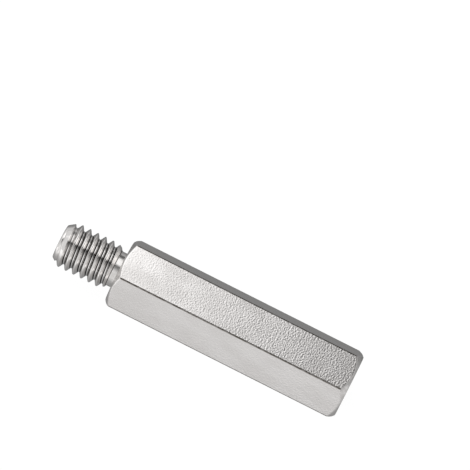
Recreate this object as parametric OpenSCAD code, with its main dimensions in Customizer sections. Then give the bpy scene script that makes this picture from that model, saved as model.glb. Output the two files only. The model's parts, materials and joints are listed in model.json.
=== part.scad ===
// Male-female hex standoff: a hexagonal bar with an externally threaded stud
// on one end and a blind tapped hole in the other, turned as one piece.
// It lies on one flat of the hexagon. The stud points along -X and the hole opens along +X.
// The threads are held as plain cylinders: the stud at its major diameter,
// the hole at its minor diameter.

/* [Body] */
// Width of the hexagonal bar across its flats
flats_w = 8; // [7.8:0.05:10]
// Length of the hexagonal body, the distance that the standoff spaces apart
body_len = 30; // [20:0.5:60]
// Diameter of the round end face that the corner chamfer leaves
end_face_d = 7.5; // [7.2:0.05:7.8]
// Angle of the corner chamfer at the stud's end, measured from the end face
stud_end_chamfer_angle = 35; // [20:1:50]
// Angle of the corner chamfer at the hole's end, measured from the end face
hole_end_chamfer_angle = 42; // [20:1:50]

/* [Stud] */
// Length of the stud, from the body's shoulder to the tip
stud_len = 7.8; // [5:0.1:12]
// Major diameter of the external thread
thread_d = 5.7; // [5.6:0.01:6]
// Diameter of the flat end of the stud
tip_d = 4.15; // [4:0.05:5]
// Length of the chamfer at the tip of the stud
tip_chamfer_len = 1.1; // [0.5:0.1:1.5]
// Diameter of the neck between the thread and the shoulder
neck_d = 4.4; // [4.2:0.05:5]
// Length of the plain neck
neck_len = 0.7; // [0.5:0.1:1.5]
// Diameter at which the last thread's run-out ends, just above the neck
runout_d = 4.9; // [4.6:0.05:5.5]
// Length from the neck to where the thread has its full diameter
runout_len = 0.8; // [0.5:0.1:1.5]

/* [Tapped hole] */
// Minor diameter of the internal thread
hole_d = 5; // [4.9:0.01:5.2]
// Depth of the hole's full diameter, from the end face
hole_depth = 14; // [8:0.5:16]
// Diameter of the countersink at the mouth
mouth_d = 6.4; // [6:0.05:6.8]
// Included angle of the countersink
mouth_angle = 90; // [60:5:120]
// Included angle of the drill point at the bottom
drill_point_angle = 118; // [90:1:140]

/* [Hidden] */
// Number of sides drawn on a round surface
round_fn = 96;
// Material shared by two volumes that join, and cut past a face by a volume that opens it
overlap = 0.5;
// Length of the steep step from the neck up to the run-out
neck_step_len = 0.1;
overall_len = body_len + stud_len;
shoulder_x = stud_len - overall_len / 2;
axis_z = flats_w / 2;
corner_d = flats_w / cos(30);
// Radius and depth of the chamfer cones just outside the hexagon's corners
envelope_r = corner_d / 2 + overlap;
stud_end_chamfer_len = (envelope_r - end_face_d / 2) * tan(stud_end_chamfer_angle);
hole_end_chamfer_len = (envelope_r - end_face_d / 2) * tan(hole_end_chamfer_angle);
mouth_len = (mouth_d - hole_d) / 2 / tan(mouth_angle / 2);
drill_point_len = hole_d / 2 / tan(drill_point_angle / 2);

// Turns a shape built along +Z so that it runs along +X from the body's shoulder
module from_shoulder() {
  translate([shoulder_x, 0, axis_z]) rotate([0, 90, 0]) children();
}

// Six-sided bar with two flats parallel to the floor
module hex_bar() {
  rotate([0, 0, 30]) cylinder(d = corner_d, h = body_len, $fn = 6);
}

// Round envelope that bevels the bar's corners at both ends
module corner_chamfers() {
  rotate_extrude($fn = round_fn)
    polygon([
      [0, 0],
      [end_face_d / 2, 0],
      [envelope_r, stud_end_chamfer_len],
      [envelope_r, body_len - hole_end_chamfer_len],
      [end_face_d / 2, body_len],
      [0, body_len]
    ]);
}

// Neck, step, run-out, thread and chamfered tip, pointing away from the body
module stud() {
  mirror([0, 0, 1])
    rotate_extrude($fn = round_fn)
      polygon([
        [0, -overlap],
        [neck_d / 2, -overlap],
        [neck_d / 2, neck_len],
        [runout_d / 2, neck_len + neck_step_len],
        [thread_d / 2, neck_len + runout_len],
        [thread_d / 2, stud_len - tip_chamfer_len],
        [tip_d / 2, stud_len],
        [0, stud_len]
      ]);
}

// Blind hole with a drill point at the bottom and a countersunk mouth
module tapped_hole() {
  rotate_extrude($fn = round_fn)
    polygon([
      [0, body_len - hole_depth - drill_point_len],
      [hole_d / 2, body_len - hole_depth],
      [hole_d / 2, body_len - mouth_len],
      [mouth_d / 2, body_len],
      [mouth_d / 2, body_len + overlap],
      [0, body_len + overlap]
    ]);
}

module standoff() {
  color([0.88, 0.86, 0.85])
    from_shoulder()
      difference() {
        union() {
          intersection() {
            hex_bar();
            corner_chamfers();
          }
          stud();
        }
        tapped_hole();
      }
}

standoff();
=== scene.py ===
"""Hex standoff, lying on one of its flats: the looks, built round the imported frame.

Lengths are in metres. +X runs along the bar from the stud's tip to the tapped hole's mouth.
Angles round the bar are measured from +Y towards +Z, so a right-hand thread moves
along +X as its angle grows.
"""

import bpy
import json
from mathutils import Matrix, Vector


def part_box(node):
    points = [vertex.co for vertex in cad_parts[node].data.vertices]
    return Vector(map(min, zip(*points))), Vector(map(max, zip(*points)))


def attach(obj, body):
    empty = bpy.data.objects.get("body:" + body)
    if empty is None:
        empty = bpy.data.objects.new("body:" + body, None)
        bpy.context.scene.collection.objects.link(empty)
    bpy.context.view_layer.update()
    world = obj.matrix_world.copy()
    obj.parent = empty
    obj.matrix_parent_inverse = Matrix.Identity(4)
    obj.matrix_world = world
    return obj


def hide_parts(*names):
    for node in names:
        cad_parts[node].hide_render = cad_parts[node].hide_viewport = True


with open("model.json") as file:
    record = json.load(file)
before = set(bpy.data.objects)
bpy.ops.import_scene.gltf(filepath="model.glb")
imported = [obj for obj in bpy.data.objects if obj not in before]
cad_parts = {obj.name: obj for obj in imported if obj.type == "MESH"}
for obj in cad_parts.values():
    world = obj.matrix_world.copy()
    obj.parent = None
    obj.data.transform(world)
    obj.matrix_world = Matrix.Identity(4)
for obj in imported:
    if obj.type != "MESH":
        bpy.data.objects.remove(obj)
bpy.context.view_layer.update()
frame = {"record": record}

import json
import math

import bpy
import numpy as np
from mathutils import Matrix, Vector

MM = 0.001

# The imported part: where it starts and ends, and where a mating part goes
LOW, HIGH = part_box("standoff")
MOUNTS = {mount["name"]: mount for mount in frame["record"]["mounts"]}
TIP_X, END_X = LOW.x, HIGH.x
SHOULDER_X = MOUNTS["shoulder_face"]["pos_m"][0]
FLATS_R = (HIGH.z - LOW.z) / 2
AXIS_Z = LOW.z + FLATS_R
THREAD_R = MOUNTS["threaded_stud"]["dims"]["r_mm"] * MM
HOLE_R = MOUNTS["tapped_hole"]["dims"]["r_mm"] * MM
HOLE_WALL = MOUNTS["tapped_hole"]["dims"]["length_mm"] * MM

# Turned features, as in the CAD. A bevel is its length along the bar for its rise in radius,
# and the drill point is its radius for its length
END_FACE_R = 3.75 * MM
STUD_END_BEVEL = math.tan(math.radians(35))
HOLE_END_BEVEL = math.tan(math.radians(42))
TIP_R = 2.075 * MM
TIP_CHAMFER = 1.1 * MM
NECK_R = 2.2 * MM
NECK = 0.7 * MM
NECK_STEP = 0.1 * MM
RUNOUT = 0.8 * MM
RUNOUT_R = 2.45 * MM
MOUTH_R = 3.2 * MM
DRILL_POINT = math.tan(math.radians(59))

# Small rounds that the CAD leaves sharp
CORNER_ROUND = 0.25 * MM
EDGE_ROUND = 0.05 * MM
TIP_ROUND = 0.15 * MM
RIM_ROUND = 0.15 * MM
NECK_ROUND = 0.12 * MM

# The hexagon's rounded corners: how far out their centres and their outermost points are
CORNER_CENTRE_R = (FLATS_R - CORNER_ROUND) / math.cos(math.radians(30))
CORNER_R = CORNER_CENTRE_R + CORNER_ROUND

# Both threads, to metric proportions: the widths of their crest flats, and their depths. The
# stud's root is round, and it starts at STUD_ROOT_START from the middle of the crest
PITCH = 1.0 * MM
FLANK = math.tan(math.radians(30))
STUD_CREST = PITCH / 8
STUD_DEPTH = 0.6134 * PITCH
STUD_ROOT_START = 0.375 * PITCH
STUD_ROOT_ROUND = 0.14434 * PITCH
HOLE_CREST = PITCH / 4
HOLE_DEPTH = 0.5413 * PITCH

# The stud's profile reaches a little past THREAD_R, where its crests are cut off softly
PROFILE_R = 2.87 * MM
ROOT_R = PROFILE_R - STUD_DEPTH

# How softly the surfaces meet: at the stud's crests, in the hole's thread, and elsewhere
STUD_BLEND = 0.07 * MM
HOLE_BLEND = 0.02 * MM
EDGE_BLEND = 0.02 * MM

# One point of the helix's crest: how far it is from the shoulder, and its angle
FIRST_CREST = 0.97 * MM
FIRST_CREST_ANGLE = math.radians(112)

# In the hole: where the helix's rows start, where the thread fades out, and the plain wall
# that the rows still cover past it
MOUTH_STEP = 1.5 * EDGE_ROUND
TAPPED = 12.0 * MM
PAST_THREAD = 0.2 * MM

# Mesh density: steps round a corner, along a flat and round an edge, and rows for each pitch
CORNER_STEPS = 6
FLAT_STEPS = 17
ROUND_STEPS = 3
FINE_STEPS = 5
STUD_ROWS = 28
HOLE_ROWS = 18

# Rows of a helix: how far before it they start going along +X (1) or -X (-1), how much longer
# than it they run, and the share of a row's step within which a point joins the end ring
ROWS_BEFORE = {1: 1.5 * PITCH, -1: 0.5 * PITCH}
ROWS_EXTRA = 2.5 * PITCH
JOIN_WITHIN = 0.3

# How far each way from a point its surface's slope is taken, and how near angles count as one
NUDGE = 0.004 * MM
SAME_ANGLE = 1e-9


# ---------------------------------------------------------------- outline and thread forms

def direction(angle):
    return np.array([math.cos(angle), math.sin(angle)])


def hexagon():
    """Angle, radius and normal angle of points round the hexagon, with rounded corners."""
    half_flat = CORNER_CENTRE_R * math.sin(math.radians(30))
    points = []
    for corner in range(6):
        corner_angle = math.radians(60 * corner)
        centre = CORNER_CENTRE_R * direction(corner_angle)
        for step in range(CORNER_STEPS + 1):
            normal = corner_angle + math.radians(60 * step / CORNER_STEPS - 30)
            points.append((centre + CORNER_ROUND * direction(normal), normal))
        normal = corner_angle + math.radians(30)
        along = np.array([-math.sin(normal), math.cos(normal)])
        for step in range(1, FLAT_STEPS + 1):
            offset = half_flat * (2 * step / (FLAT_STEPS + 1) - 1)
            points.append((FLATS_R * direction(normal) + offset * along, normal))
    angles = np.array([math.atan2(spot[1], spot[0]) for spot, _ in points])
    angles[angles < angles[0] - SAME_ANGLE] += 2 * math.pi
    radii = np.array([np.hypot(*spot) for spot, _ in points])
    return angles, radii, np.array([normal for _, normal in points])


ANGLES, HEX_R, HEX_NORMAL = hexagon()
COLUMNS = len(ANGLES)


def from_crest(x, angle):
    """Distance along the bar from the nearest thread crest."""
    turns = (x - (SHOULDER_X - FIRST_CREST)) / PITCH
    turns = turns - (angle - FIRST_CREST_ANGLE) / (2 * math.pi)
    return np.abs(turns - np.round(turns)) * PITCH


def soften(depth, blend):
    """Depth below a crest, with the edge between the crest and the flank rounded."""
    return (depth + np.sqrt(depth**2 + blend**2)) / 2


def lesser(a, b):
    """The lesser of two radii, with the edge between them rounded."""
    return (a + b - np.sqrt((a - b) ** 2 + EDGE_BLEND**2)) / 2


def stud_form(distance):
    """Depth of the external thread below its profile radius: straight flanks, round root."""
    flank = (distance - STUD_CREST / 2) / FLANK
    arc = np.sqrt(np.maximum(STUD_ROOT_ROUND**2 - (distance - PITCH / 2) ** 2, 0))
    root = STUD_DEPTH - STUD_ROOT_ROUND + arc
    return np.where(distance > STUD_ROOT_START, root, flank)


def hole_form(distance):
    """Depth of the internal thread outside its crest: wide crest, straight flanks, narrow root."""
    depth = soften((distance - HOLE_CREST / 2) / FLANK, HOLE_BLEND)
    return HOLE_DEPTH - soften(HOLE_DEPTH - depth, HOLE_BLEND)


def stud_radius(x, angle):
    """The stud: its thread is cut into by the chamfered tip and by the run-out to the neck."""
    depth = stud_form(from_crest(x, angle)) - (PROFILE_R - THREAD_R)
    thread = THREAD_R - soften(depth, STUD_BLEND)
    tip_slope = (THREAD_R - TIP_R) / TIP_CHAMFER
    tip = TIP_R + (x - TIP_X) * tip_slope
    past_neck = SHOULDER_X - x - NECK
    step = NECK_R + past_neck * (RUNOUT_R - NECK_R) / NECK_STEP
    runout = RUNOUT_R + (past_neck - NECK_STEP) * (THREAD_R - RUNOUT_R) / (RUNOUT - NECK_STEP)
    runout = np.maximum(lesser(step, runout), NECK_R)
    return lesser(lesser(thread, tip), runout)


def hole_radius(x, angle):
    """The tapped hole: countersunk at the mouth, and the thread fades out before the bottom."""
    depth = END_X - x
    thread = np.minimum(hole_form(from_crest(x, angle)), np.maximum(TAPPED - depth, 0))
    # The countersink is at 45 degrees, so its radius falls by as much as the depth grows
    mouth = MOUTH_R - depth
    return -lesser(-HOLE_R - thread, -mouth)


# ---------------------------------------------------------------- the skin

def radial(angle):
    """Directions away from the axis, one for each angle round the bar."""
    return np.stack([np.zeros_like(angle), np.cos(angle), np.sin(angle)], axis=1)


def unit(vectors):
    return vectors / np.linalg.norm(vectors, axis=1, keepdims=True)


ALONG = np.array([1.0, 0.0, 0.0])
OUTWARD = radial(ANGLES)


class Skin:
    """One closed surface, made of rings that each hold one point per column."""

    def __init__(self):
        self.points, self.normals, self.faces, self.slots = [], [], [], []
        self.count = 0

    def add(self, x, radius, normal):
        """Adds a ring of points and returns their numbers."""
        x, radius = np.broadcast_to(x, COLUMNS), np.broadcast_to(radius, COLUMNS)
        spots = x[:, None] * ALONG + radius[:, None] * OUTWARD
        self.points.append(spots + np.array([0.0, 0.0, AXIS_Z]))
        self.normals.append(unit(np.broadcast_to(normal, (COLUMNS, 3))))
        self.count += COLUMNS
        return np.arange(self.count - COLUMNS, self.count)

    def centre(self, x, normal):
        """Adds one point on the axis, as a ring whose points are all the same one."""
        self.points.append(np.array([[x, 0.0, AXIS_Z]]))
        self.normals.append(normal[None, :])
        self.count += 1
        return np.full(COLUMNS, self.count - 1)

    def face(self, corners, slot):
        """Adds a face, without the corners that have run together."""
        kept = list(dict.fromkeys(corners))
        if len(kept) > 2:
            self.faces.append([int(c) for c in kept])
            self.slots.append(slot)

    def band(self, first, second, slot):
        """Adds the faces between two rings."""
        for i in range(COLUMNS):
            self.face((first[i - 1], first[i], second[i], second[i - 1]), slot)

    def helix(self, start, stop, start_x, stop_x, radius, rows, slot):
        """Faces between two rings along a thread, in rows that follow its helix.

        Going along +X the metal is inside the surface, and going along -X it is outside.
        Points beyond either ring, or only just inside it, collapse onto it.
        """
        way = 1 if stop_x > start_x else -1
        step = PITCH / rows
        lead = PITCH * ANGLES / (2 * math.pi)
        first_x = start_x - way * ROWS_BEFORE[way]
        count = math.ceil((abs(stop_x - start_x) + ROWS_EXTRA) / step)
        grid = np.empty((count, COLUMNS), int)
        for row in range(count):
            x = first_x + way * row * step + lead
            from_start, to_stop = way * (x - start_x), way * (stop_x - x)
            x = np.clip(x, min(start_x, stop_x), max(start_x, stop_x))
            numbers = self.add(x, radius(x, ANGLES), way * slope_normal(radius, x))
            numbers = np.where(from_start < JOIN_WITHIN * step, start, numbers)
            grid[row] = np.where(to_stop < JOIN_WITHIN * step, stop, numbers)
        for row in range(count - 1):
            near, far = grid[row], grid[row + 1]
            for i in range(COLUMNS - 1):
                self.face((near[i], near[i + 1], far[i + 1], far[i]), slot)
            # The last column meets the first one of the row that is a turn further on
            beyond = row + way * rows
            if 0 <= beyond < count - 1:
                self.face((near[-1], grid[beyond, 0], grid[beyond + 1, 0], far[-1]), slot)

    def mesh(self, name):
        """The skin as a mesh, without the points that no face uses."""
        points, normals = np.concatenate(self.points), np.concatenate(self.normals)
        used = np.unique(np.concatenate([np.array(f) for f in self.faces]))
        number = np.full(len(points), -1)
        number[used] = np.arange(len(used))
        mesh = bpy.data.meshes.new(name)
        mesh.from_pydata(points[used], [], [[number[c] for c in f] for f in self.faces])
        mesh.polygons.foreach_set("material_index", self.slots)
        mesh.polygons.foreach_set("use_smooth", [True] * len(self.faces))
        mesh.normals_split_custom_set_from_vertices(normals[used])
        mesh.update()
        return mesh


def slope_normal(radius, x):
    """Normal, away from the axis, of a surface whose radius depends on x and angle."""
    turn = NUDGE / THREAD_R
    along = (radius(x + NUDGE, ANGLES) - radius(x - NUDGE, ANGLES)) / (2 * NUDGE)
    round_bar = (radius(x, ANGLES + turn) - radius(x, ANGLES - turn)) / (2 * turn)
    tangent = np.stack([np.zeros(COLUMNS), -np.sin(ANGLES), np.cos(ANGLES)], axis=1)
    spin = (round_bar / radius(x, ANGLES))[:, None]
    return OUTWARD - along[:, None] * ALONG - spin * tangent


# ---------------------------------------------------------------- the standoff

# The finishes, as the mesh's faces number them
FLAT, TURNED, THREADED, BORED = range(4)


def rounded(skin, last, corner, before, after, normals, size, slot, lead=None, steps=ROUND_STEPS):
    """Adds rings round a corner of the profile, and the faces that lead to it from ring last.

    corner, before and after are (x, radius) pairs: the corner, and the directions from it back
    along its first side and on along its second. normals are those sides' normals. lead is the
    finish of the faces that come before the round, where it isn't the round's own.
    """
    for step in range(steps + 1):
        t = step / steps
        back, on = size * (1 - t) ** 2, size * t**2
        x = corner[0] + back * before[0] + on * after[0]
        radius = corner[1] + back * before[1] + on * after[1]
        ring = skin.add(x, radius, (1 - t) * normals[0] + t * normals[1])
        skin.band(last, ring, lead if step == 0 and lead is not None else slot)
        last = ring
    return last


def reverse(edge):
    """The same edge of the profile, met from its other side."""
    corner, before, after, (first, second) = edge
    return [corner, after, before, (second, first)]


def bar_end(skin, last, face_x, way, bevel):
    """One end of the hexagon: way is 1 where the bar starts and -1 where it ends."""
    rise = 1 / math.hypot(1, bevel)
    run = way * bevel * rise
    face_normal = -way * ALONG
    bevel_normal = abs(run) * OUTWARD - way * rise * ALONG
    flat_normal = radial(HEX_NORMAL)
    inner = (face_x, END_FACE_R)
    outer = (face_x + way * bevel * (HEX_R - END_FACE_R), HEX_R)
    inward, outward = (-run, -rise), (run, rise)
    inner_edge = [inner, (0, -1), outward, (face_normal, bevel_normal)]
    outer_edge = [outer, inward, (way, 0), (bevel_normal, flat_normal)]
    if way > 0:
        last = rounded(skin, last, *inner_edge, EDGE_ROUND, TURNED)
        return rounded(skin, last, *outer_edge, RIM_ROUND, FLAT, lead=TURNED, steps=FINE_STEPS)
    last = rounded(skin, last, *reverse(outer_edge), RIM_ROUND, FLAT, steps=FINE_STEPS)
    return rounded(skin, last, *reverse(inner_edge), EDGE_ROUND, TURNED)


def add_stud(skin):
    """Flat tip, its chamfer, the thread, the neck, and the round at the neck's foot."""
    chamfer = np.array([TIP_CHAMFER, THREAD_R - TIP_R])
    chamfer = chamfer / np.hypot(*chamfer)
    chamfer_normal = chamfer[0] * OUTWARD - chamfer[1] * ALONG
    last = skin.centre(TIP_X, -ALONG)
    tip_edge = [(TIP_X, TIP_R), (0, -1), chamfer, (-ALONG, chamfer_normal)]
    last = rounded(skin, last, *tip_edge, TIP_ROUND, TURNED, steps=FINE_STEPS)
    start_x, stop_x = TIP_X + TIP_ROUND, SHOULDER_X - NECK
    start = skin.add(start_x, stud_radius(start_x, ANGLES), chamfer_normal)
    skin.band(last, start, TURNED)
    stop = skin.add(stop_x, NECK_R, OUTWARD)
    skin.helix(start, stop, start_x, stop_x, stud_radius, STUD_ROWS, THREADED)
    neck_foot = [(SHOULDER_X, NECK_R), (-1, 0), (0, 1), (OUTWARD, -ALONG)]
    return rounded(skin, stop, *neck_foot, NECK_ROUND, TURNED)


def add_bar(skin, last):
    """The hexagonal bar, with its corners chamfered at both ends."""
    last = bar_end(skin, last, SHOULDER_X, 1, STUD_END_BEVEL)
    return bar_end(skin, last, END_X, -1, HOLE_END_BEVEL)


def add_hole(skin, last):
    """Mouth with a 45 degree countersink, the tapped hole, and its drill point."""
    slope = math.sqrt(0.5)
    mouth_normal = slope * (ALONG - OUTWARD)
    mouth_edge = [(END_X, MOUTH_R), (0, 1), (-slope, -slope), (ALONG, mouth_normal)]
    last = rounded(skin, last, *mouth_edge, EDGE_ROUND, TURNED)
    start_x, stop_x = END_X - MOUTH_STEP, END_X - TAPPED - PAST_THREAD
    start = skin.add(start_x, hole_radius(start_x, ANGLES), mouth_normal)
    skin.band(last, start, TURNED)
    stop = skin.add(stop_x, HOLE_R, -OUTWARD)
    skin.helix(start, stop, start_x, stop_x, hole_radius, HOLE_ROWS, BORED)
    bottom_x = END_X - (MOUTH_R - HOLE_R) - HOLE_WALL
    last = skin.add(bottom_x, HOLE_R, -OUTWARD)
    skin.band(stop, last, BORED)
    apex = skin.centre(bottom_x - HOLE_R / DRILL_POINT, ALONG)
    skin.band(last, apex, BORED)


def build_standoff():
    """The whole piece, from the middle of the stud's tip round to the drill point."""
    skin = Skin()
    last = add_stud(skin)
    last = add_bar(skin, last)
    add_hole(skin, last)
    return skin.mesh("turned_standoff")


# ---------------------------------------------------------------- shader nodes

def node(tree, kind, sockets, **settings):
    """Adds a shader node. sockets gives each input a value or another node's output."""
    made = tree.nodes.new("ShaderNode" + kind)
    for name, value in settings.items():
        setattr(made, name, value)
    for name, value in sockets.items():
        if isinstance(value, bpy.types.NodeSocket):
            tree.links.new(value, made.inputs[name])
        else:
            made.inputs[name].default_value = value
    return made


def new_material(name):
    """A material without nodes. Returns it, its tree, and the place on the object."""
    material = bpy.data.materials.new(name)
    material.use_nodes = True
    tree = material.node_tree
    tree.nodes.clear()
    return material, tree, node(tree, "TexCoord", {}).outputs["Object"]


def noise(tree, place, grain, detail=2.0):
    """Cloudy noise. grain is the size of its features along X, Y and Z."""
    scale = [1 / size for size in grain]
    spot = node(tree, "Mapping", {"Vector": place, "Scale": scale})
    made = node(tree, "TexNoise", {"Vector": spot.outputs[0], "Scale": 1.0, "Detail": detail})
    return made.outputs["Fac"]


def ramp(tree, value, start, stop, low=0.0, high=1.0):
    """value, taken smoothly from start..stop to low..high."""
    sockets = {"Value": value, "From Min": start, "From Max": stop, "To Min": low, "To Max": high}
    return node(tree, "MapRange", sockets, interpolation_type="SMOOTHSTEP").outputs[0]


def math_node(tree, operation, *values):
    return node(tree, "Math", dict(enumerate(values)), operation=operation).outputs[0]


def vector_math(tree, operation, *values):
    return node(tree, "VectorMath", dict(enumerate(values)), operation=operation).outputs[0]


def length(tree, vector):
    return node(tree, "VectorMath", {0: vector}, operation="LENGTH").outputs["Value"]


def component(tree, vector, axis):
    return node(tree, "SeparateXYZ", {"Vector": vector}).outputs[axis]


def along_bar(tree, place):
    return component(tree, place, "X")


def from_axis(tree, place):
    """Distance of a point from the bar's axis."""
    centred = vector_math(tree, "SUBTRACT", place, (0, 0, AXIS_Z))
    return length(tree, vector_math(tree, "MULTIPLY", centred, (0, 1, 1)))


def lathe_trace(tree, place):
    """A place that is the same all the way round the bar, as a lathe tool's marks are."""
    parts = {"X": along_bar(tree, place), "Y": from_axis(tree, place)}
    return node(tree, "CombineXYZ", parts).outputs[0]


def bump(tree, height, depth, under=None):
    """A normal that follows height, where 0..1 is depth metres, on top of another normal."""
    sockets = {"Height": height, "Distance": depth, "Strength": 1.0}
    if under is not None:
        sockets["Normal"] = under
    return node(tree, "Bump", sockets).outputs["Normal"]


# ---------------------------------------------------------------- materials

# Colours of the metal: clean, faintly smudged, painted shade on the bar's corners, freshly cut on
# the thread, painted shade beside its root, and dulled on turned faces
NICKEL = (0.885, 0.863, 0.85, 1.0)
SMUDGED = (0.835, 0.812, 0.797, 1.0)
CORNER_SHADE = (0.15, 0.135, 0.12, 1.0)
FRESH_CUT = (0.93, 0.91, 0.895, 1.0)
ROOT_SHADE = (0.025, 0.022, 0.02, 1.0)
DULL = (0.56, 0.545, 0.525, 1.0)

# Values of the noise that a ramp runs between
CLOUDS = (0.3, 0.7)
SMUDGE_CLOUDS = (0.38, 0.62)
CORNER_SHADE_CLOUDS = (0.3, 0.6)

# Drawn flats. A grain is the size of a noise's features, and a depth is that of its bumps
PEEL_GRAIN = [0.2 * MM] * 3
WAVE_GRAIN = [2.4 * MM, 1.6 * MM, 1.6 * MM]
WAVE_DEPTH = 0.012 * MM
LINE_GRAIN = [9 * MM, 0.12 * MM, 0.12 * MM]
LINE_DEPTH = 0.0008 * MM
SMUDGE_GRAIN = [5 * MM, 2.5 * MM, 2.5 * MM]
FLAT_ROUGHNESS = (0.16, 0.24)

# Orange peel: its depths in millimetres at PEEL_START and at the hole's end, and the share of
# them that is left behind the top flat's rear edge, after a short fade
PEEL_START = SHOULDER_X - 4 * MM
PEEL = (0.018, 0.042)
REAR_EDGE_Y = FLATS_R / math.sqrt(3)
REAR_FADE = 0.5 * MM
REAR_PEEL = 0.4

# Painted shade along the bar's corners: how far in from their outermost points it starts and is
# full, and the shares of it that patches leave
CORNER_SHADE_STARTS = 0.032 * MM
CORNER_SHADE_FULL = 0.012 * MM
CORNER_SHADE_GRAIN = [0.5 * MM] * 3
CORNER_SHADE_SHARES = (0.75, 1.0)

# Turned faces
RING_GRAIN = [0.05 * MM, 0.05 * MM, 1.0]
RING_DEPTH = 0.0012 * MM
MARK_GRAIN = [0.8 * MM] * 3
MARK_SHARES = (0.0, 0.5)
TURNED_ROUGHNESS = (0.15, 0.27)

# Cut thread
TOOL_GRAIN = [0.06 * MM, 0.06 * MM, 1.0]
TOOL_DEPTH = 0.0006 * MM
BLOTCH_GRAIN = [0.5 * MM] * 3
BLOTCH_DEPTH = 0.002 * MM
THREAD_ROUGHNESS = (0.04, 0.09)

# Painted shade beside the thread's root: the radii between which it comes in and goes out
# again, how far past the tip's chamfer it is full, and its shares on flanks that face the tip and
# the body, for normals whose X goes from the first to the second of ROOT_SHADE_FACING
ROOT_SHADE_IN = (ROOT_R + 0.006 * MM, ROOT_R + 0.016 * MM)
ROOT_SHADE_OUT = (ROOT_R + 0.19 * MM, ROOT_R + 0.14 * MM)
ROOT_SHADE_FADE = 0.2 * MM
ROOT_SHADE_FACING = (-0.5, 0.1)
ROOT_SHADE_SHARES = (0.45, 1.0)

# Bore
PATCH_GRAIN = [0.9 * MM] * 3
PATCH_DEPTH = 0.01 * MM
BORE_ROUGHNESS = (0.25, 0.4)


def tinted(tree, share, dull, clean=NICKEL):
    """The metal's colour, going from clean to dull as share goes from 0 to 1."""
    return node(tree, "MixRGB", {0: share, 1: clean, 2: dull}).outputs[0]


def nickel(name, finish):
    """Bright metal. finish adds its own nodes and returns the values of the shader's sockets."""
    material, tree, place = new_material(name)
    sockets = {"Metallic": 1.0, "Base Color": NICKEL, **finish(tree, place)}
    shader = node(tree, "BsdfPrincipled", sockets)
    node(tree, "OutputMaterial", {"Surface": shader.outputs[0]})
    return material


def drawn_flats(tree, place):
    """Cold-drawn flats: orange peel, calmer at the rear, faint lines, smudges, painted shade on
    the corners.
    """
    along = along_bar(tree, place)
    peel = noise(tree, place, PEEL_GRAIN)
    waves = noise(tree, place, WAVE_GRAIN, detail=1.0)
    lines = noise(tree, place, LINE_GRAIN)
    smudges = noise(tree, place, SMUDGE_GRAIN, detail=3.0)
    coarseness = ramp(tree, along, PEEL_START, END_X, *PEEL)
    across = component(tree, place, "Y")
    calmer = ramp(tree, across, REAR_EDGE_Y, REAR_EDGE_Y + REAR_FADE, 1.0, REAR_PEEL)
    coarseness = math_node(tree, "MULTIPLY", coarseness, calmer)
    normal = bump(tree, waves, WAVE_DEPTH)
    normal = bump(tree, lines, LINE_DEPTH, normal)
    normal = bump(tree, math_node(tree, "MULTIPLY", peel, coarseness), MM, normal)
    radius = from_axis(tree, place)
    # The dark strip along the corners' outermost points is painted shade, made patchy by noise
    corner = ramp(tree, radius, CORNER_R - CORNER_SHADE_STARTS, CORNER_R - CORNER_SHADE_FULL)
    patchy = ramp(tree, noise(tree, place, CORNER_SHADE_GRAIN), *CORNER_SHADE_CLOUDS, *CORNER_SHADE_SHARES)
    smudged = tinted(tree, ramp(tree, smudges, *SMUDGE_CLOUDS), SMUDGED)
    colour = tinted(tree, math_node(tree, "MULTIPLY", corner, patchy), CORNER_SHADE, smudged)
    rough = ramp(tree, smudges, *CLOUDS, *FLAT_ROUGHNESS)
    return {"Normal": normal, "Roughness": rough, "Base Color": colour}


def turned(tree, place):
    """Turned faces and chamfers, with fine rings round the axis and duller marks."""
    rings = noise(tree, lathe_trace(tree, place), RING_GRAIN)
    marks = noise(tree, place, MARK_GRAIN)
    normal = bump(tree, rings, RING_DEPTH)
    colour = tinted(tree, ramp(tree, marks, *CLOUDS, *MARK_SHARES), DULL)
    rough = ramp(tree, marks, *CLOUDS, *TURNED_ROUGHNESS)
    return {"Normal": normal, "Roughness": rough, "Base Color": colour}


def threaded(tree, place):
    """Fresh cut thread with painted shade beside the root, darkest on the flanks that face the
    body.
    """
    radius = from_axis(tree, place)
    tool_marks = noise(tree, lathe_trace(tree, place), TOOL_GRAIN)
    blotches = noise(tree, place, BLOTCH_GRAIN)
    normal = bump(tree, blotches, BLOTCH_DEPTH)
    normal = bump(tree, tool_marks, TOOL_DEPTH, normal)
    # The dark colour beside the root is painted shade for the thread's grooves, not a real tarnish
    comes_in = ramp(tree, radius, *ROOT_SHADE_IN)
    goes_out = ramp(tree, radius, *ROOT_SHADE_OUT)
    corner = math_node(tree, "MULTIPLY", comes_in, goes_out)
    chamfer_end = TIP_X + TIP_CHAMFER
    past_tip = ramp(tree, along_bar(tree, place), chamfer_end, chamfer_end + ROOT_SHADE_FADE)
    facing = component(tree, node(tree, "NewGeometry", {}).outputs["Normal"], "X")
    uneven = ramp(tree, facing, *ROOT_SHADE_FACING, *ROOT_SHADE_SHARES)
    uneven = math_node(tree, "MULTIPLY", past_tip, uneven)
    colour = tinted(tree, math_node(tree, "MULTIPLY", corner, uneven), ROOT_SHADE, FRESH_CUT)
    rough = ramp(tree, blotches, *CLOUDS, *THREAD_ROUGHNESS)
    return {"Normal": normal, "Roughness": rough, "Base Color": colour}


def bored(tree, place):
    """Inside the hole, where the metal is rougher and patchy."""
    patches = noise(tree, place, PATCH_GRAIN, detail=3.0)
    normal = bump(tree, patches, PATCH_DEPTH)
    return {"Normal": normal, "Roughness": ramp(tree, patches, *CLOUDS, *BORE_ROUGHNESS)}


# ---------------------------------------------------------------- lights

WHITE = (1, 1, 1, 1)
WORLD_GREY = (0.08, 0.08, 0.08, 1)
ARCH_STEPS = 24


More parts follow.
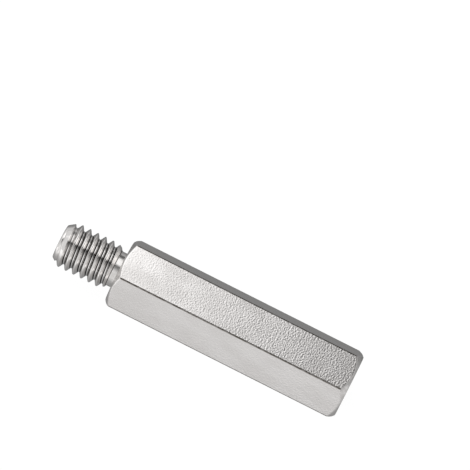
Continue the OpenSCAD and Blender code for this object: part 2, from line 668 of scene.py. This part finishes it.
def lean(tree, place):
    """Angle in degrees of a direction from the bar: 0 straight up, 90 level to the front."""
    parts = node(tree, "SeparateXYZ", {"Vector": place})
    front = math_node(tree, "MULTIPLY", parts.outputs["Y"], -1.0)
    turn = math_node(tree, "ARCTAN2", front, parts.outputs["Z"])
    return math_node(tree, "DEGREES", turn)


def fading_glow(name, fades, radiance):
    """A glow that turns clear towards its edges. fades is as for glow_card."""
    glow, tree, place = new_material(name)
    share = 1.0
    for measure, (low, high), (fade_low, fade_high) in fades:
        value = measure(tree, place)
        rise = ramp(tree, value, low, low + fade_low)
        fall = ramp(tree, value, high, high - fade_high)
        share = math_node(tree, "MULTIPLY", share, math_node(tree, "MULTIPLY", rise, fall))
    lamp = node(tree, "Emission", {"Color": WHITE, "Strength": radiance}).outputs[0]
    clear = node(tree, "BsdfTransparent", {}).outputs[0]
    surface = node(tree, "MixShader", {0: share, 1: clear, 2: lamp}).outputs[0]
    node(tree, "OutputMaterial", {"Surface": surface})
    return glow


def glow_card(name, spots, faces, fades, radiance):
    """A glowing card, unseen by the camera.

    fades holds, for each way that the glow fades out, a function that gives the socket to
    measure it by, the values where the card starts and stops, and the depth of each fade.
    """
    mesh = bpy.data.meshes.new(name)
    mesh.from_pydata(spots, [], faces)
    mesh.materials.append(fading_glow(name, fades, radiance))
    made = bpy.data.objects.new(name, mesh)
    made.visible_camera = False
    made.visible_shadow = False
    bpy.context.scene.collection.objects.link(made)
    return made


def arch_light(name, leans, lean_fades, span, span_fades, distance, radiance, turn=None):
    """Part of an arch over the bar, between two leans, and spanning part of X.

    turn takes the arch to another place about the bar's middle.
    """
    spots = []
    for step in range(ARCH_STEPS + 1):
        angle = math.radians(leans[0] + (leans[1] - leans[0]) * step / ARCH_STEPS)
        for x in span:
            spots.append((x, -distance * math.sin(angle), distance * math.cos(angle)))
    faces = [(2 * i, 2 * i + 1, 2 * i + 3, 2 * i + 2) for i in range(ARCH_STEPS)]
    fades = ((lean, leans, lean_fades), (along_bar, span, span_fades))
    made = glow_card(name, spots, faces, fades, radiance)
    made.matrix_world = Matrix.Translation((0, 0, AXIS_Z)) @ (turn or Matrix.Identity(4))


def build_lights():
    """Soft light at the back, over the right, in front, and beyond both of the bar's ends."""
    arch_light(
        "back_light",
        leans=(-62, 5),
        lean_fades=(14, 19),
        span=(-0.7, 0.0465),
        span_fades=(0.35, 0.08),
        distance=0.25,
        radiance=1.24,
    )
    arch_light(
        "right_top_light",
        leans=(-62, 60),
        lean_fades=(20, 20),
        span=(0.12, 0.6),
        span_fades=(0.1, 0.2),
        distance=0.3,
        radiance=0.6,
    )
    arch_light(
        "front_light",
        leans=(-2, 92),
        lean_fades=(52, 4),
        span=(-0.6, 0.5),
        span_fades=(0.25, 0.25),
        distance=0.7,
        radiance=0.87,
    )
    to_left = Matrix.Rotation(math.radians(-90), 4, "Y")
    to_right = Matrix.Rotation(math.radians(180), 4, "Z") @ to_left
    for name, radiance, turn in (("left_light", 0.7, to_left), ("right_light", 0.4, to_right)):
        arch_light(
            name,
            leans=(-85, 85),
            lean_fades=(25, 25),
            span=(0.0, 0.6),
            span_fades=(0.01, 0.3),
            distance=0.75,
            radiance=radiance,
            turn=turn,
        )


def build_world():
    """Dim grey wherever there is neither a light nor the floor."""
    world = bpy.data.worlds.new("studio")
    bpy.context.scene.world = world
    world.use_nodes = True
    background = world.node_tree.nodes["Background"]
    background.inputs["Color"].default_value = WORLD_GREY
    background.inputs["Strength"].default_value = 1.0


# ---------------------------------------------------------------- floor

# Its shape: a disc that bends up into a low wall
FLOOR_R = 0.9
WALL_HEIGHT = 0.1
WALL_BEND = 0.05
BEND_STEPS = 8
SPOKES = 96

# Its paper, the share of it that glows for the camera, and how strongly
FLOOR_PAPER = (0.9, 0.9, 0.9, 1)
FLOOR_GLOW = 0.85
FLOOR_STRENGTH = 1.12

# How strongly it glows in the metal: past the stud's end, where it is brighter as a painted pool
# of light, and along the bar, and the X between which it goes from one to the other
FLOOR_MIRRORED = (1.05, 0.7)
FLOOR_RISE = (-0.032, -0.022)

# Painted shadow in that glow: the share of it under the bar, how far from the bar it is whole,
# and the share behind it
FLOOR_SHADOW_FOOT = 0.15
FLOOR_OPEN = 30 * MM
FLOOR_SHADOW_BEHIND = 0.55


def floor_mesh():
    flat_r = FLOOR_R - WALL_BEND
    profile = [(flat_r, 0.0)]
    for step in range(1, BEND_STEPS + 1):
        turn = math.radians(90 * step / BEND_STEPS)
        profile.append((flat_r + WALL_BEND * math.sin(turn), WALL_BEND * (1 - math.cos(turn))))
    profile.append((FLOOR_R, WALL_HEIGHT))
    spots, faces = [(0.0, 0.0, LOW.z)], []
    for out, up in profile:
        for spoke in range(SPOKES):
            turn = 2 * math.pi * spoke / SPOKES
            spots.append((out * math.cos(turn), out * math.sin(turn), LOW.z + up))
    for spoke in range(SPOKES):
        after = (spoke + 1) % SPOKES
        faces.append((0, 1 + spoke, 1 + after))
        for ring in range(len(profile) - 1):
            near, far = 1 + ring * SPOKES, 1 + (ring + 1) * SPOKES
            faces.append((near + spoke, far + spoke, far + after, near + after))
    mesh = bpy.data.meshes.new("floor")
    mesh.from_pydata(spots, [], faces)
    mesh.polygons.foreach_set("use_smooth", [True] * len(faces))
    return mesh


def mirrored_strength(tree, place):
    """How strongly the floor glows in the metal: less near the bar and less behind it, as painted
    shadow.
    """
    level = ramp(tree, along_bar(tree, place), *FLOOR_RISE, *FLOOR_MIRRORED)
    apart = vector_math(tree, "ABSOLUTE", place)
    apart = vector_math(tree, "SUBTRACT", apart, (END_X, 0, 0))
    apart = vector_math(tree, "MAXIMUM", apart, (0, 0, 0))
    # The dimming near the bar and behind it is painted shadow, set by position on the floor
    open_share = math_node(tree, "MULTIPLY", length(tree, apart), 1 / FLOOR_OPEN)
    open_share = math_node(tree, "MINIMUM", math_node(tree, "SQRT", open_share), 1.0)
    unshaded = math_node(tree, "MULTIPLY_ADD", open_share, 1 - FLOOR_SHADOW_FOOT, FLOOR_SHADOW_FOOT)
    behind = ramp(tree, component(tree, place, "Y"), 0.0, FLATS_R, 1.0, FLOOR_SHADOW_BEHIND)
    return math_node(tree, "MULTIPLY", level, math_node(tree, "MULTIPLY", unshaded, behind))


def floor_paper():
    """White to the camera, a glow in the metal, and matte paper to all other light."""
    paper, tree, place = new_material("white_sweep")
    path = node(tree, "LightPath", {})
    camera = path.outputs["Is Camera Ray"]
    mirrored = math_node(
        tree, "MAXIMUM", path.outputs["Is Glossy Ray"], path.outputs["Is Transmission Ray"]
    )
    level = mirrored_strength(tree, place)
    share = math_node(tree, "MULTIPLY_ADD", camera, FLOOR_GLOW, mirrored)
    strength = math_node(tree, "MULTIPLY", camera, FLOOR_STRENGTH)
    strength = math_node(tree, "MULTIPLY_ADD", mirrored, level, strength)
    matte = node(tree, "BsdfDiffuse", {"Color": FLOOR_PAPER}).outputs[0]
    glow = node(tree, "Emission", {"Color": WHITE, "Strength": strength}).outputs[0]
    surface = node(tree, "MixShader", {0: share, 1: matte, 2: glow}).outputs[0]
    node(tree, "OutputMaterial", {"Surface": surface})
    return paper


def build_floor():
    mesh = floor_mesh()
    mesh.materials.append(floor_paper())
    floor = bpy.data.objects.new("floor", mesh)
    bpy.context.scene.collection.objects.link(floor)


# ---------------------------------------------------------------- camera

# Distance from what it aims at, lens and sensor in millimetres, how near and far it sees, angles
# in degrees, and how far right and up in its own view the aim is from the bar's middle
CAMERA_DISTANCE = 0.535
CAMERA_LENS = 350.7
CAMERA_SENSOR = 36
CAMERA_CLIP = (0.01, 10)
CAMERA_ELEVATION = 68.05
CAMERA_YAW = -1.44
CAMERA_ROLL = 26.72
CAMERA_SHIFT = Vector((3.548, 9.196)) * MM


def build_camera():
    """Looks down at the bar from the front, turned so that the bar slopes to the right."""
    raised, yaw, roll = (math.radians(a) for a in (CAMERA_ELEVATION, CAMERA_YAW, CAMERA_ROLL))
    right = Vector((1, 0, 0))
    up = Vector((0, math.sin(raised), math.cos(raised)))
    back = Vector((0, -math.cos(raised), math.sin(raised)))
    right, back = (
        math.cos(yaw) * right + math.sin(yaw) * back,
        math.cos(yaw) * back - math.sin(yaw) * right,
    )
    right, up = (
        math.cos(roll) * right + math.sin(roll) * up,
        math.cos(roll) * up - math.sin(roll) * right,
    )
    aim = Vector((0, 0, AXIS_Z)) + CAMERA_SHIFT.x * right + CAMERA_SHIFT.y * up
    data = bpy.data.cameras.new("camera")
    data.lens, data.sensor_width = CAMERA_LENS, CAMERA_SENSOR
    data.clip_start, data.clip_end = CAMERA_CLIP
    camera = bpy.data.objects.new("camera", data)
    turn = Matrix((right, up, back)).transposed().to_4x4()
    camera.matrix_world = Matrix.Translation(aim + CAMERA_DISTANCE * back) @ turn
    bpy.context.scene.collection.objects.link(camera)
    bpy.context.scene.camera = camera


# ---------------------------------------------------------------- the scene

# The finishes are in the order of FLAT, TURNED, THREADED and BORED
mesh = build_standoff()
for name, finish in (
    ("nickel_flats", drawn_flats),
    ("nickel_turned", turned),
    ("nickel_thread", threaded),
    ("nickel_bore", bored),
):
    mesh.materials.append(nickel(name, finish))
standoff = bpy.data.objects.new("turned_standoff", mesh)
bpy.context.scene.collection.objects.link(standoff)
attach(standoff, "root")
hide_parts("standoff")

build_floor()
build_lights()
build_world()
build_camera()
bpy.context.scene.view_settings.view_transform = "Standard"
